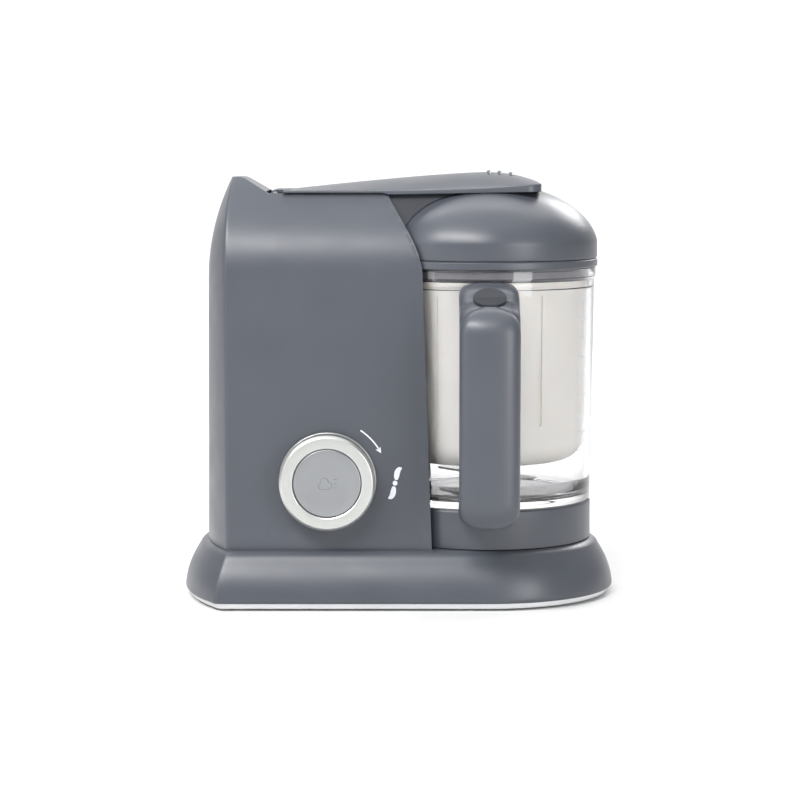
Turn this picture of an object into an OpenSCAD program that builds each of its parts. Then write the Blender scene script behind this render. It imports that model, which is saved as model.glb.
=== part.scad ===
// Baby food maker: a steamer-blender with a water tower, a twist-lock bowl and a lever lid.
// Origin: middle of the footprint, on the surface it stands on. +X towards the bowl,
// +Y towards the back, +Z up.

/* [Base] */
// Length of the base along X
base_length = 254.9; // [250:0.1:262]
// Radius of the base around the bowl at its widest
base_r = 75.4; // [74:0.2:78]
// Radius of the curved left end of the base
base_end_r = 139; // [130:1:160]
// Height of the base top, where the tower and bowl stand
base_top = 33.4; // [31:0.2:36]
// Underside of the dark base moulding
base_under = 4.7; // [4:0.1:6]
// How far the flared flank draws in from the widest line to the top
base_flare = 11.5; // [10:0.1:12.5]
// Wall thickness of the base moulding
base_wall = 2.6; // [2:0.1:3.5]

/* [Tower] */
// Distance from the bowl axis to the left face of the tower at its foot
tower_reach = 165.7; // [163:0.1:167]
// Plan radius of the bowed left face
tower_bow_r = 126; // [110:1:140]
// Half depth of the tower at the base
tower_half = 58.7; // [57:0.1:60]
// Half depth of the tower where the front starts to lean back
shoulder_half = 55.3; // [54:0.1:57]
// Half depth of the tower at its top rim
rim_half = 32.5; // [31.5:0.1:34]
// Height where the front starts to lean back
shoulder_z = 190; // [186:1:194]
// Height of the tower rim under the lever
rim_z = 237.7; // [236:0.1:238.5]
// Height of the wedge behind the lever hinge
wedge_z = 247; // [245:0.2:248.6]
// Wall thickness of the tower
tower_wall = 2.5; // [2:0.1:3]
// Radius of the hollow that the bowl stands in
bay_r = 67.4; // [67:0.1:69]

/* [Bowl] */
// Outside radius of the bowl at its top
bowl_top_r = 63.6; // [63:0.1:64]
// Outside radius of the bowl at its foot
bowl_foot_r = 62; // [61:0.1:63]
// Top of the bowl foot, where the clear wall starts
foot_top = 56.6; // [55:0.2:58]
// Height of the bowl rim
bowl_rim_z = 194.2; // [193.4:0.2:195.6]
// Thickness of the clear floor
floor_t = 3.5; // [3:0.1:4.5]
// Turn of the handle from straight ahead, towards the tower
handle_turn = 0.8; // [0:0.1:10]
// Distance from the bowl axis to the front of the handle
handle_reach = 108; // [105:0.1:111]
// Width of the handle
handle_w = 34.2; // [30:0.1:38]

/* [Basket] */
// Outside radius of the steam basket at its top
basket_r = 59; // [57:0.1:59.4]
// Underside of the steam basket
basket_under = 80; // [77.5:0.5:84]
// Top of the basket flange
basket_top = 187.5; // [186:0.1:188]

/* [Lid] */
// Outside radius of the lid
lid_r = 65.2; // [64.8:0.1:65.8]
// Seam between the lid ring and the dome
lid_seam_z = 199.6; // [199:0.1:201]
// Top of the straight skirt, where the dome starts
skirt_z = 209.7; // [208:0.1:211]
// Height of the flat on top of the dome, where the steam port stands
dome_flat_z = 242.2; // [241:0.1:242.4]

/* [Lever] */
// Half width of the lever
lever_half = 35; // [34:0.1:36]
// Far end of the lever
lever_end_x = 82.8; // [80:0.2:86]
// Height of the lever's ridge
ridge_z = 249.7; // [249:0.1:250.4]
// Position of the hinge along X
hinge_x = -71.8; // [-73:0.2:-71]
// Height of the hinge pin
hinge_z = 237.3; // [237:0.1:237.6]

/* [Control] */
// Position of the control knob along X
knob_x = -41.1; // [-44:0.1:-38]
// Height of the control knob
knob_z = 73.6; // [68:0.1:80]
// Outside radius of the control knob
knob_r = 27.6; // [26:0.1:30]
// Radius of the push button in its middle
button_r = 19.5; // [18:0.1:21]

/* [Drive] */
// Position of the motor along X
motor_x = -56; // [-58:0.5:-54]
// Pitch radius of the motor pulley
motor_pulley_r = 9; // [8:0.5:12]
// Pitch radius of the spindle pulley
spindle_pulley_r = 22; // [18:0.5:24]
// Radius of the drive spindle
spindle_r = 4; // [3.5:0.1:4.5]

/* [Hidden] */

$fn = 96;
slice_t = 0.1;
hull_fn = 32;
running_gap = 0.05;
part_gap = 0.3;

handle_corner = 9;
front_reach = (handle_reach - handle_corner) * cos(handle_turn)
    + (handle_w / 2 - handle_corner) * sin(handle_turn) + handle_corner;
plane_y = (front_reach - base_r) / 2;
half_length = base_length / 2;
bowl_x = half_length - base_r;
tower_left = bowl_x - tower_reach;
motor_top = 112;
spindle_top = 74;
pulley_z = 14;
pulley_h = 9;
tank_x = -46;
tank_r = 25;
tank_neck_r = 18.4;
tank_wall = 1.2;
plate_under = 1.2;
widest_z = 5.6;
tower_draft = 0.0067;
lean_z = 188.8;
seat_h = 5;
valley_x = hinge_x - 4.5;
crest_x = hinge_x - 19.4;
deck_half = 27.3;
deck_top = rim_z - 0.6;
deck_t = 2.8;
barrel_r = 2.6;
trough_r = 3;
pin_r = 1.5;
bed_w = 9.8;
bed_h = 6;
pan_z = rim_z + part_gap;
pan_t = 1.2;
dome_r = lid_r + 0.6;
dome_z = skirt_z - 5.4;
dome_h = 39.2;
dome_start = 8;
lid_wall = 2.4;
plug_r = bowl_top_r - 3.6;
port_under = 235.4;
port_r = 5;
port_bore_r = 2.6;
port_rim = dome_flat_z;
nozzle_under = port_rim + 1.3;
nozzle_top = nozzle_under + 0.9;
chimney_r = 9;
chimney_bore_r = 6;
chimney_top = 70;

dark_grey = [0.40, 0.41, 0.45];
light_grey = [0.80, 0.81, 0.82];
silver = [0.78, 0.79, 0.80];
steel = [0.70, 0.71, 0.72];
rubber_grey = [0.20, 0.20, 0.21];
clear = [0.85, 0.90, 0.92, 0.35];
cream = [0.92, 0.88, 0.83];

ear_reach = deck_half + 3.7;
knob_face = tower_depth(knob_z);
knob_back = knob_face + 2.4;
knob_depth = 11.2;
knob_front = knob_back + knob_depth;
well_depth = knob_depth - 2.4;
button_t = 2.6;
button_sink = 0.5;
shaft_r = 3;
gland_x = -72;
gland_z = 52;
ridge_x = 50;
ridge_places = [53, 59.3, 66];
step_x = -7.5;
skirt_low = rim_z - 0.7;
skirt_end = rim_z + 2.1;
lever_wall = 2;
lever_start = hinge_x + 4.6;
web_half = deck_half - 0.5;
lug_turns = [30, 150, 270];
duct_under = 216;
duct_low_half = 39.6;
duct_high_half = 30.8;
duct_start_x = -20;
duct_end_x = 34;

screw_places = [[-88, -52], [-88, 52], [26, -60], [26, 60]];
foot_places = [[-98, -44], [-98, 44], [80, -48], [80, 48]];

// ---------- placing helpers ----------

module on_plane(x = 0, z = 0) {
    translate([x, plane_y, z]) children();
}

module at_bowl(z = 0) {
    on_plane(bowl_x, z) children();
}

module at_handle() {
    at_bowl() rotate([0, 0, -90 - handle_turn]) children();
}

module at_knob(depth) {
    on_plane(knob_x, knob_z) translate([0, depth, 0]) rotate([-90, 0, 0]) children();
}

// lays what it holds along the hinge, centred on it
module along_hinge(length) {
    translate([hinge_x, length / 2, hinge_z]) rotate([90, 0, 0]) children();
}

module ring(r_out, r_in, h, z = 0) {
    translate([0, 0, z]) difference() {
        cylinder(r = r_out, h = h);
        translate([0, 0, -1]) cylinder(r = r_in, h = h + 2);
    }
}

module rounded_box_2d(x0, y0, x1, y1, r) {
    translate([x0 + r, y0]) square([x1 - x0 - 2 * r, y1 - y0]);
    translate([x0, y0 + r]) square([x1 - x0, y1 - y0 - 2 * r]);
    for (x = [x0 + r, x1 - r]) for (y = [y0 + r, y1 - r]) translate([x, y]) circle(r = r);
}

// ---------- base ----------

function flare_inset(z) = z < widest_z
    ? 0.5 * (widest_z - z) / (widest_z - base_under)
    : base_flare * pow((z - widest_z) / (base_top - widest_z), 1.8);

module base_plan(inset) {
    intersection() {
        translate([base_end_r - half_length, 0]) circle(r = base_end_r - inset);
        translate([-half_length, -base_r + inset]) square([half_length + bowl_x, 2 * (base_r - inset)]);
        translate([-half_length, -half_length]) square([half_length, 2 * half_length]);
    }
    translate([-1, -base_r + inset]) square([bowl_x + 1, 2 * (base_r - inset)]);
    translate([bowl_x, 0]) circle(r = base_r - inset);
}

function flank(r, inset, low, top) = concat(
    [[0, low], [r - flare_inset(base_under) - inset, low]],
    [for (z = [widest_z : 4.7 : top - 3]) [r - flare_inset(z) - inset, z]],
    [[r - flare_inset(top - 1.2) - inset, top - 1.2], [r - base_r + bowl_foot_r - inset, top], [0, top]]
);

module flank_turned(r, inset, low, top) {
    rotate_extrude() polygon(flank(r, inset, low, top));
}

module flank_straight(length, inset, low, top) {
    rotate([90, 0, 90]) linear_extrude(length) {
        polygon(flank(base_r, inset, low, top));
        mirror([1, 0]) polygon(flank(base_r, inset, low, top));
    }
}

module base_form(inset, low, top) {
    translate([bowl_x, 0, 0]) flank_turned(base_r, inset, low, top);
    flank_straight(bowl_x, inset, low, top);
    intersection() {
        translate([-half_length, 0, 0]) flank_straight(half_length + 1, inset, low, top);
        translate([base_end_r - half_length, 0, 0]) flank_turned(base_end_r, inset, low, top);
    }
}

module base_plinth() {
    color(dark_grey) on_plane() {
        difference() {
            base_form(0, base_under, base_top);
            base_form(base_wall, base_under - 1, base_top - base_wall);
            translate([bowl_x, 0, 0]) cylinder(r = 10, h = base_top + 1);
            translate([motor_x, 0, 0]) cylinder(r = 14, h = base_top + 1);
        }
        for (p = screw_places) translate([p[0], p[1], 0]) ring(5, 1.5, base_top - 8.5, 7);
    }
}

module bottom_plate() {
    color(light_grey) on_plane() difference() {
        union() {
            translate([0, 0, plate_under]) linear_extrude(base_under - plate_under) base_plan(3);
            translate([0, 0, base_under]) linear_extrude(2.3) base_plan(6);
        }
        for (p = screw_places) {
            translate([p[0], p[1], 0]) cylinder(r = 1.7, h = 10);
            translate([p[0], p[1], 0]) cylinder(r = 3.4, h = 4);
        }
        for (p = foot_places) translate([p[0], p[1], 0]) cylinder(r = 9, h = 2.6);
    }
}

module rubber_feet() {
    color(rubber_grey) on_plane() for (p = foot_places) {
        translate([p[0], p[1], 0]) cylinder(r = 8, h = plate_under);
        translate([p[0], p[1], plate_under]) cylinder(r = 9, h = 1.4);
    }
}

module base_screws() {
    color(steel) on_plane() for (p = screw_places) translate([p[0], p[1], 0]) {
        translate([0, 0, 1.8]) cylinder(r = 3.2, h = 2.2);
        translate([0, 0, 4]) cylinder(r = 1.5, h = 12);
    }
}

// ---------- tower ----------

function tower_depth(z) = z < shoulder_z
    ? tower_half - (tower_half - shoulder_half) * (z - base_top) / (shoulder_z - base_top)
    : shoulder_half - (shoulder_half - rim_half) * pow((z - shoulder_z) / (rim_z - shoulder_z), 2);
function tower_face(z) = tower_left + tower_draft * (z - base_top) + 0.0041 * pow(max(0, z - lean_z), 2);

module tower_slice(z, right, inset) {
    half = tower_depth(z) - inset;
    left = tower_face(z) + inset;
    translate([0, 0, z]) linear_extrude(slice_t) intersection() {
        translate([left + tower_bow_r, 0]) circle(r = tower_bow_r, $fn = 160);
        polygon([
            [left - 1, 2.5 - half], [left + 15.5, -half], [right, -half],
            [right, half], [left + 15.5, half], [left - 1, half - 2.5]
        ]);
    }
}

module tower_form(inset, z_low, z_high) {
    steps = 7;
    hull() {
        tower_slice(z_low, 30, inset);
        tower_slice(shoulder_z, 30, inset);
        for (i = [0 : steps]) {
            tower_slice(lean_z + (z_high - slice_t - lean_z) * i / steps, 30, inset);
        }
    }
}

function slope_x(z) = valley_x + (crest_x - valley_x) * (z - rim_z - 1) / (wedge_z - rim_z - 1);

module wedge_form() {
    hull() {
        tower_slice(rim_z - 3, valley_x, 0);
        tower_slice(rim_z + 1, valley_x, 0);
        // height below the top and inset of each slice, for a rounded crest
        for (s = [[5, 0], [2.6, 0], [1.4, 0.7], [0.6, 1.7], [slice_t, 3.9]]) {
            tower_slice(wedge_z - s[0], slope_x(wedge_z - s[0]), s[1]);
        }
    }
}

module bay(extra) {
    translate([bowl_x, 0, base_top - 1]) cylinder(r = bay_r + extra, h = 230);
}

module tower_shell() {
    color(dark_grey) on_plane() {
        difference() {
            union() {
                tower_form(0, base_top, rim_z);
                wedge_form();
            }
            tower_form(tower_wall, base_top - 1, rim_z - tower_wall);
            bay(tower_wall);
            // opening that the deck closes
            translate([valley_x, -deck_half, rim_z - 8]) cube([bowl_x - bay_r - valley_x + 10, 2 * deck_half, 12]);
            along_hinge(2 * ear_reach + 4) cylinder(r = pin_r, h = 2 * ear_reach + 4);
            // knob shaft and cord gland
            translate([knob_x, -tower_half - 5, knob_z]) rotate([-90, 0, 0]) cylinder(r = 6.1, h = 20);
            translate([gland_x, tower_half - 10, gland_z]) rotate([-90, 0, 0]) cylinder(r = 7, h = 20);
        }
        for (side = [-1, 1]) translate([0, side * (ear_reach + deck_half) / 2, 0]) {
            along_hinge(ear_reach - deck_half - 0.1) ring(barrel_r, pin_r, ear_reach - deck_half - 0.1);
        }
    }
}

module bowl_side_panel() {
    color(dark_grey) on_plane() intersection() {
        tower_form(0, base_top, rim_z - 1.5);
        difference() {
            bay(tower_wall);
            translate([0, 0, -1]) bay(0);
        }
    }
}

module top_deck() {
    left = valley_x + bed_w;
    color(dark_grey) on_plane() difference() {
        translate([left, -deck_half, deck_top - deck_t]) cube([bowl_x - bay_r - left + 10, 2 * deck_half, deck_t]);
        translate([tank_x, 0, 230]) cylinder(r = tank_neck_r + 0.2, h = 12);
        bay(tower_wall + 0.1);
    }
}

// block with the trough that the hinge barrel turns in
module hinge_bed() {
    color(dark_grey) on_plane() difference() {
        translate([valley_x, -deck_half, deck_top - bed_h]) cube([bed_w, 2 * deck_half, bed_h]);
        along_hinge(2 * deck_half + 2) cylinder(r = trough_r, h = 2 * deck_half + 2);
    }
}

// dome profile shared by the lid and what clears it
module dome_solid(grow) {
    rotate_extrude() polygon(concat(
        [[0, skirt_z - 16], [lid_r + grow, skirt_z - 16]],
        [for (a = [dome_start : 7.4 : 82]) [
            (dome_r + grow) * cos(a),
            min(dome_flat_z + grow, dome_z + (dome_h + grow) * sin(a))
        ]],
        [[0, dome_flat_z + grow]]
    ));
}

module cord_gland() {
    color(rubber_grey) on_plane(gland_x, gland_z) translate([0, tower_half - 7, 0]) rotate([-90, 0, 0]) difference() {
        union() {
            cylinder(r = 7, h = 12);
            translate([0, 0, 7.2]) cylinder(r = 9.5, h = 2.2);
        }
        translate([0, 0, -1]) cylinder(r = 3.4, h = 14);
    }
}

// ---------- steam ----------

module water_tank() {
    top = rim_z - 0.2;
    low = 150;
    shoulder = 214;
    neck = 228;
    color(steel) on_plane(tank_x) rotate_extrude() polygon([
        [0, low], [tank_r - 2, low], [tank_r, low + 2], [tank_r, shoulder], [tank_neck_r, neck], [tank_neck_r, top],
        [tank_neck_r - tank_wall, top], [tank_neck_r - tank_wall, neck - 0.4], [tank_r - tank_wall, shoulder - 0.4],
        [tank_r - tank_wall, low + 2.6], [tank_r - 2.6, low + tank_wall], [0, low + tank_wall]
    ]);
}

module heater_plate() {
    color(steel) on_plane(tank_x) {
        translate([0, 0, 146]) cylinder(r = 22, h = 4);
        ring(19, 12, 5, 141);
    }
}

module thermostat() {
    color(light_grey) on_plane(tank_x) translate([0, 0, 138]) cylinder(r = 8, h = 8);
}

// ---------- drive ----------

module motor_mount() {
    color(steel) on_plane(motor_x) {
        difference() {
            translate([-32, -30, 37]) cube([64, 60, 3]);
            translate([0, 0, 30]) cylinder(r = 12, h = 20);
        }
        for (x = [-27, 27]) for (y = [-25, 25]) {
            translate([x, y, base_top]) cylinder(r = 4, h = 37 - base_top);
        }
    }
}

module motor_can() {
    color(steel) on_plane(motor_x) difference() {
        translate([0, 0, 40]) cylinder(r = 28, h = motor_top - 40);
        translate([0, 0, 43]) cylinder(r = 26, h = motor_top - 46);
        translate([0, 0, 35]) cylinder(r = 2.5 + running_gap, h = 90);
    }
}

module motor_magnets() {
    color(rubber_grey) on_plane(motor_x) ring(26, 20, 42, 54);
}

module motor_shaft() {
    color(silver) on_plane(motor_x) translate([0, 0, 12]) cylinder(r = 2.5, h = 103);
}

module motor_rotor() {
    color("#8a5a3a") on_plane(motor_x) ring(19, 2.5, 38, 56);
}

module motor_pulley() {
    color(steel) on_plane(motor_x) {
        ring(motor_pulley_r, 2.5, pulley_h, pulley_z);
        ring(motor_pulley_r + 2, 2.5, 1, pulley_z - 1);
    }
}

module belt_loop(grow) {
    hull() {
        translate([motor_x, 0]) circle(r = motor_pulley_r + grow, $fn = hull_fn);
        translate([bowl_x, 0]) circle(r = spindle_pulley_r + grow, $fn = 48);
    }
}

module drive_belt() {
    color(rubber_grey) on_plane() translate([0, 0, pulley_z + 0.5]) linear_extrude(7) difference() {
        belt_loop(2);
        belt_loop(part_gap);
    }
}

module spindle_housing() {
    color(light_grey) at_bowl() difference() {
        union() {
            translate([0, 0, 25]) cylinder(r = 10, h = 26);
            translate([0, 0, base_top]) cylinder(r = 19, h = 3);
        }
        translate([0, 0, 20]) cylinder(r = 6.2, h = 40);
    }
}

module spindle_bushes() {
    color("goldenrod") at_bowl() {
        for (z = [25, 43]) ring(6.2, spindle_r + running_gap, 8, z);
    }
}

module bowl_seat() {
    color(dark_grey) at_bowl() {
        ring(bowl_foot_r - 10.8, 19, seat_h, base_top);
        // lugs that hold the bowl foot down
        intersection() {
            ring(bowl_foot_r - 7.6, bowl_foot_r - 12.8, 2.4, base_top + seat_h);
            for (a = lug_turns) rotate([0, 0, a]) translate([0, -8, 0]) cube([60, 16, 60]);
        }
    }
}

module drive_spindle() {
    color(steel) at_bowl() translate([0, 0, 12]) cylinder(r = spindle_r, h = spindle_top - 12);
}

module spindle_pulley() {
    color(light_grey) at_bowl() {
        ring(spindle_pulley_r, spindle_r, pulley_h, pulley_z);
        ring(spindle_pulley_r + 2, spindle_r, 1, pulley_z - 1);
    }
}

module blade_hub() {
    color(dark_grey) at_bowl() difference() {
        translate([0, 0, 62]) cylinder(r = 12.5, h = 14);
        translate([0, 0, 61]) cylinder(r = 9.4, h = 11);
        translate([0, 0, 61]) cylinder(r = spindle_r, h = spindle_top - 61);
    }
}

module blade(z, reach, turn) {
    rotate([0, 0, turn]) translate([0, 0, z]) linear_extrude(1.2) difference() {
        intersection() {
            translate([reach / 2, 0]) rounded_box_2d(-reach / 2, -7, reach / 2, 7, 6);
            translate([reach * 0.42, 30]) circle(r = 37);
        }
        circle(r = 12.5);
    }
}

module blades() {
    color(steel) at_bowl() {
        for (turn = [-96, 84]) blade(64, 50, turn);
        for (turn = [-50, 130]) blade(70, 40, turn);
    }
}

// ---------- bowl ----------

function wall_r(z) = bowl_foot_r - 0.2 + (bowl_top_r - bowl_foot_r + 0.2) * (z - foot_top) / (188 - foot_top);

module bowl_glass() {
    step_z = basket_top - 3;
    floor_z = foot_top + floor_t;
    color(clear) at_bowl() rotate_extrude() polygon([
        [chimney_r, foot_top], [wall_r(foot_top), foot_top], [wall_r(188), 188], [wall_r(188) + 0.8, 189],
        [wall_r(188) + 0.8, bowl_rim_z], [wall_r(188) - 2.4, bowl_rim_z],
        [wall_r(188) - 2.4, step_z], [wall_r(188) - 3.4, step_z], [wall_r(66) - 3.4, 66],
        [wall_r(66) - 4.6, 62.4], [wall_r(66) - 7.5, floor_z + 0.4], [wall_r(66) - 11, floor_z],
        [chimney_r, floor_z]
    ]);
}

module bowl_chimney() {
    color(clear) at_bowl() rotate_extrude() polygon([
        [chimney_bore_r, foot_top], [chimney_r, foot_top], [chimney_r, foot_top + floor_t],
        [chimney_r - 0.6, chimney_top], [chimney_bore_r, chimney_top]
    ]);
}

module bowl_foot() {
    foot_in_r = bowl_foot_r - 4.8;
    color(dark_grey) at_bowl() {
        rotate_extrude() polygon([
            [foot_in_r, base_top + part_gap], [bowl_foot_r, base_top + part_gap], [bowl_foot_r, foot_top - 1],
            [bowl_foot_r - 1, foot_top], [37, foot_top], [37, foot_top - 3], [foot_in_r, foot_top - 3]
        ]);
        // ledges that turn in under the lugs of the seat
        intersection() {
            ring(foot_in_r + 1, foot_in_r - 5, 2.4, base_top + 2);
            for (a = lug_turns) rotate([0, 0, a]) translate([0, -9, 0]) cube([60, 18, 60]);
        }
    }
}

function arc(x, y, r, from, to) = [for (i = [0 : 6]) let (a = from + (to - from) * i / 6) [x + r * cos(a), y + r * sin(a)]];

handle_crest_z = 175.4;
handle_crest_r = 11;
handle_slope = [[handle_reach - 22.6, 180], [handle_reach - 32.6, 185.6]];
function handle_crest() = [
    handle_reach - handle_crest_r + handle_crest_r * cos(70),
    handle_crest_z - handle_crest_r + handle_crest_r * sin(70)
];

module handle() {
    front = handle_reach;
    grip_t = 17.5;
    outer = concat(
        [[50, 46.6], [68, 47]],
        arc(front - 12, 66, 12, -80, 0),
        arc(front - handle_crest_r, handle_crest_z - handle_crest_r, handle_crest_r, 0, 70),
        handle_slope,
        [[70, 188], [50, 188]]
    );
    gap = concat(
        [[40, 71]],
        arc(front - grip_t - 9, 80, 9, -90, 0),
        arc(front - grip_t - 9, 158, 9, 0, 90),
        [[40, 167]]
    );
    color(dark_grey) at_handle() difference() {
        intersection() {
            translate([0, handle_w / 2, 0]) rotate([90, 0, 0]) linear_extrude(handle_w) difference() {
                polygon(outer);
                polygon(gap);
            }
            linear_extrude(260) polygon(concat(
                [[40, -handle_w / 2]],
                arc(front - handle_corner, handle_corner - handle_w / 2, handle_corner, -90, 0),
                arc(front - handle_corner, handle_w / 2 - handle_corner, handle_corner, 0, 90),
                [[40, handle_w / 2]]
            ));
        }
        translate([0, 0, 20]) cylinder(r = bowl_foot_r, h = foot_top - 20);
        translate([0, 0, foot_top - 1]) cylinder(r = wall_r(188) + 0.8, h = 240 - foot_top);
    }
}

module thumb_pad() {
    skin = 0.8;
    crest = handle_crest();
    raised = [crest[0], crest[1] + skin];
    color(rubber_grey) at_handle() intersection() {
        translate([handle_reach - 21.6, 0, 165]) cylinder(r = 9.5, h = 30);
        translate([0, 15, 0]) rotate([90, 0, 0]) linear_extrude(30) polygon([
            crest, handle_slope[0], handle_slope[1],
            [handle_slope[1][0], handle_slope[1][1] + skin], [handle_slope[0][0], handle_slope[0][1] + skin], raised
        ]);
    }
}

module steam_basket() {
    wall = 1.6;
    low_r = basket_r - 1.8;
    color(cream) at_bowl() difference() {
        union() {
            rotate_extrude() polygon(concat(
                [[0, basket_under]],
                [for (a = [-90 : 15 : 0]) [low_r - 14 + 14 * cos(a), basket_under + 14 + 14 * sin(a)]],
                [[basket_r, basket_top - 3], [basket_r + 1.4, basket_top - 3], [basket_r + 1.4, basket_top]],
                [[basket_r - wall, basket_top]],
                [for (a = [0 : -15 : -90]) [low_r - 14 + (14 - wall) * cos(a), basket_under + 14 + (14 - wall) * sin(a)]],
                [[0, basket_under + wall]]
            ));
        }
        for (i = [0 : 11]) rotate([0, 0, i * 30]) translate([12, -1.1, basket_under - 5]) cube([20, 2.2, 10]);
    }
}

// ---------- lid ----------

module lid_dome() {
    color(dark_grey) at_bowl() difference() {
        dome_solid(0);
        cylinder(r = lid_r + 1, h = lid_seam_z);
        difference() {
            dome_solid(-lid_wall);
            translate([0, 0, port_under]) cylinder(r = port_r + 3, h = 20);
        }
        translate([0, 0, port_under - 1]) cylinder(r = port_r, h = 20);
    }
}

module lid_ring() {
    under = basket_top + 1;
    shelf = bowl_rim_z + part_gap;
    inner = plug_r - 2.6;
    color(dark_grey) at_bowl() rotate_extrude() polygon([
        [inner, under], [plug_r, under], [plug_r, shelf], [lid_r + 0.2, shelf],
        [lid_r + 0.2, lid_seam_z - 0.6], [lid_r - 0.6, lid_seam_z], [inner, lid_seam_z]
    ]);
}

module lid_seal() {
    color(rubber_grey) at_bowl() ring(plug_r + 0.6, plug_r, 3.4, bowl_rim_z - 4.8);
}

module steam_port() {
    color(rubber_grey) at_bowl() {
        ring(port_r, port_bore_r, port_rim - port_under, port_under);
        ring(port_r + 2.6, port_bore_r, 1, port_rim);
    }
}

// ---------- lever ----------

function along_lever(x) = max(0, x - hinge_x) / (lever_end_x - hinge_x);
function ridge_at(x) = x < ridge_x
    ? ridge_z - 10.7 * pow((ridge_x - x) / 121, 1.3)
    : ridge_z - 6 * pow((x - ridge_x) / (lever_end_x - ridge_x), 2.3);
function crease_at(x) = rim_z + 1.7 + 4 * pow(along_lever(x), 4);
function skirt_at(x) = skirt_low + (skirt_end - skirt_low) * (x - step_x) / (lever_end_x - step_x);

module lever_slice(x, inset) {
    half = lever_half - inset;
    low = skirt_at(x) - (inset > 0 ? 6 : 0);
    edge = crease_at(x) - inset;
    crown = ridge_at(x) - crease_at(x);
    translate([x, 0, 0]) rotate([90, 0, 90]) linear_extrude(slice_t) polygon(concat(
        [[half, low], [half, edge]],
        [for (i = [5 : -1 : -5]) [half * i / 6, edge + crown * (1 - pow(i / 6, 2))]],
        [[-half, edge], [-half, low]]
    ));
}

module lever_form(inset, x0, x1) {
    hull() for (x = [x0, -40, -10, 20, 40, 50, 60, 68, 76, x1 - slice_t]) lever_slice(x, inset);
}

module lever_plan(inset) {
    linear_extrude(300) intersection() {
        rounded_box_2d(-90, -lever_half + inset, lever_end_x - inset, lever_half - inset, 9);
        translate([lever_start + inset, -lever_half - 5]) square([200, 2 * lever_half + 10]);
    }
}

module lever_hollow() {
    intersection() {
        lever_form(lever_wall, hinge_x + 8, lever_end_x - lever_wall);
        lever_plan(lever_wall);
    }
}

module lever_cover() {
    color(dark_grey) on_plane() difference() {
        union() {
            difference() {
                intersection() {
                    lever_form(0, hinge_x + 1, lever_end_x);
                    lever_plan(0);
                }
                lever_hollow();
                // the skirt steps up where it rides over the tower
                translate([-90, -50, rim_z - 10]) cube([90 + step_x, 100, 10 + part_gap]);
            }
            along_hinge(2 * web_half) cylinder(r = barrel_r, h = 2 * web_half);
            translate([hinge_x, -web_half, hinge_z + 0.8]) cube([9, 2 * web_half, 1.4]);
            for (x = ridge_places) {
                translate([x, 13, ridge_at(x) - 0.1]) rotate([90, 0, 0]) cylinder(r = 1.4, h = 26);
            }
        }
        along_hinge(80) cylinder(r = pin_r + running_gap, h = 80);
    }
}

module lever_pan() {
    raised = nozzle_top;
    color(light_grey) on_plane() difference() {
        intersection() {
            lever_hollow();
            translate([0, 40, 0]) rotate([90, 0, 0]) linear_extrude(80) polygon([
                [-63, pan_z], [14, pan_z], [30, raised], [80, raised],
                [80, raised + pan_t], [29, raised + pan_t], [13, pan_z + pan_t], [-63, pan_z + pan_t]
            ]);
        }
        at_nozzle() translate([0, 0, nozzle_under]) cylinder(r = 3, h = 20);
    }
}

// steam passage under the lever, shaped to the tower on its left and the dome on its right
module steam_duct() {
    color(dark_grey) on_plane() difference() {
        intersection() {
            translate([duct_start_x, 0, 0]) rotate([90, 0, 90]) linear_extrude(duct_end_x - duct_start_x) polygon([
                [duct_low_half, duct_under], [duct_high_half, pan_z],
                [-duct_high_half, pan_z], [-duct_low_half, duct_under]
            ]);
            translate([bowl_x, 0, 200]) cylinder(r = bay_r - 1.5, h = 60);
        }
        translate([bowl_x, 0, 0]) dome_solid(0.6);
    }
}

module at_nozzle() {
    translate([bowl_x, 0, 0]) children();
}

module tank_gasket() {
    color(rubber_grey) on_plane(tank_x) ring(tank_neck_r + 1, tank_neck_r - 2.2, 0.3, pan_z - 0.3);
}

module steam_nozzle() {
    color(rubber_grey) on_plane() at_nozzle() {
        ring(8, 3, nozzle_top - nozzle_under, nozzle_under);
        ring(3, 1.8, 3, nozzle_under);
    }
}

module hinge_pin() {
    color(steel) on_plane() along_hinge(2 * ear_reach + 0.8) cylinder(r = pin_r, h = 2 * ear_reach + 0.8);
}

// ---------- control ----------

module rotary_switch() {
    front = knob_face - 4;
    color(light_grey) on_plane(knob_x, knob_z) difference() {
        translate([-15, -front, -15]) cube([30, 14, 30]);
        translate([0, -front - 5, 0]) rotate([-90, 0, 0]) cylinder(r = shaft_r + running_gap, h = 14.6);
    }
}

module control_board() {
    color("darkgreen") on_plane() {
        translate([-98, -26, 50]) cube([1.6, 52, 74]);
        translate([-96.4, -18, 60]) cube([10, 14, 18]);
        translate([-96.4, 6, 84]) cube([12, 12, 12]);
    }
}

module knob_ring() {
    edge = 1.2;
    color(silver) at_knob(-knob_front) difference() {
        union() {
            translate([0, 0, edge]) cylinder(r = knob_r, h = knob_depth - edge);
            cylinder(r1 = knob_r - edge, r2 = knob_r, h = edge);
        }
        translate([0, 0, -1]) cylinder(r = button_r + part_gap, h = well_depth + 1);
    }
}

module knob_skirt() {
    color(silver) at_knob(-knob_back) ring(knob_r + 0.8, 8, 1.6);
}

module knob_shaft() {
    color(light_grey) at_knob(-knob_back) {
        cylinder(r = 6, h = 6);
        translate([0, 0, 6]) cylinder(r = shaft_r, h = 9);
    }
}

module steam_button() {
    color(silver) at_knob(button_sink - knob_front) {
        cylinder(r = button_r, h = button_t);
        translate([0, 0, button_t]) cylinder(r = 4, h = 3);
    }
}

module button_spring() {
    start = button_sink + button_t + 0.1;
    color(steel) at_knob(start - knob_front) ring(7.5, 6.3, well_depth - start);
}

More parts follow.
